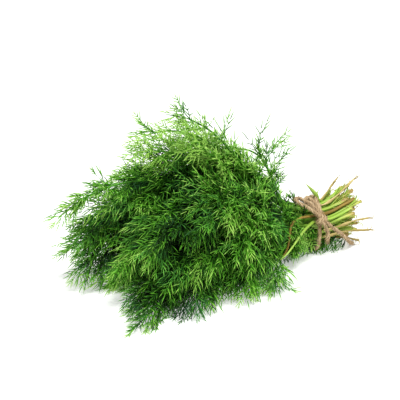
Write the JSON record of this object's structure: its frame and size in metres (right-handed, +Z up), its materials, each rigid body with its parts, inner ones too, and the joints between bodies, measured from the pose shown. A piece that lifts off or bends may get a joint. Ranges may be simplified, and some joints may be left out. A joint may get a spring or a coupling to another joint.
{
  "type": "dill bunch",
  "caption": "Fresh dill bunch lying on its side: feathery fronds fan out of a neck of green stalks tied with jute twine, with bare cut ends behind the tie.",
  "frame": {"origin": "centre of the footprint, on the surface that the bunch lies on", "axes": "+X from the leafy head towards the cut ends, +Z up, away from the surface"},
  "size_m": [0.2146, 0.1076, 0.1134],
  "materials": {
    "dill_green": "fresh matt green leaf, pale and slightly glossy at the cut stalks",
    "dry_stalk": "dry, straw-coloured and shrivelled",
    "brown_stalk": "wilted brown, matt",
    "pale_stalk": "fresh yellow-green, slightly glossy",
    "jute": "hairy twisted jute"
  },
  "bodies": {
    "root": {"leafy_stem_01": "dill_green", "leafy_stem_02": "dill_green", "leafy_stem_03": "dill_green", "leafy_stem_04": "dill_green", "leafy_stem_05": "dill_green", "leafy_stem_06": "dill_green", "leafy_stem_07": "dill_green", "leafy_stem_08": "dill_green", "leafy_stem_09": "dill_green", "leafy_stem_10": "dill_green", "leafy_stem_11": "dill_green", "leafy_stem_12": "dill_green", "leafy_stem_13": "dill_green", "leafy_stem_14": "dill_green", "leafy_stem_15": "dill_green", "leafy_stem_16": "dill_green", "leafy_stem_17": "dill_green", "leafy_stem_18": "dill_green", "leafy_stem_19": "dill_green", "leafy_stem_20": "dill_green", "leafy_stem_21": "dill_green", "leafy_stem_22": "dill_green", "leafy_stem_23": "dill_green", "leafy_stem_24": "dill_green", "leafy_stem_25": "dill_green", "leafy_stem_26": "dill_green", "leafy_stem_27": "dill_green", "leafy_stem_28": "dill_green", "leafy_stem_29": "dill_green", "leafy_stem_30": "dill_green", "leafy_stem_31": "dill_green", "leafy_stem_32": "dill_green", "leafy_stem_33": "dill_green", "leafy_stem_34": "dill_green", "leafy_stem_35": "dill_green", "dry_stalk_1": "dry_stalk", "dry_stalk_2": "dry_stalk", "dry_stalk_3": "dry_stalk", "dry_stalk_4": "dry_stalk", "dry_stalk_5": "dry_stalk", "dry_stalk_6": "dry_stalk", "dry_stalk_7": "dry_stalk", "bent_stalk_brown": "brown_stalk", "bent_stalk_green": "pale_stalk", "twine_wrap": "jute", "twine_end": "jute"}
  },
  "joints": []
}
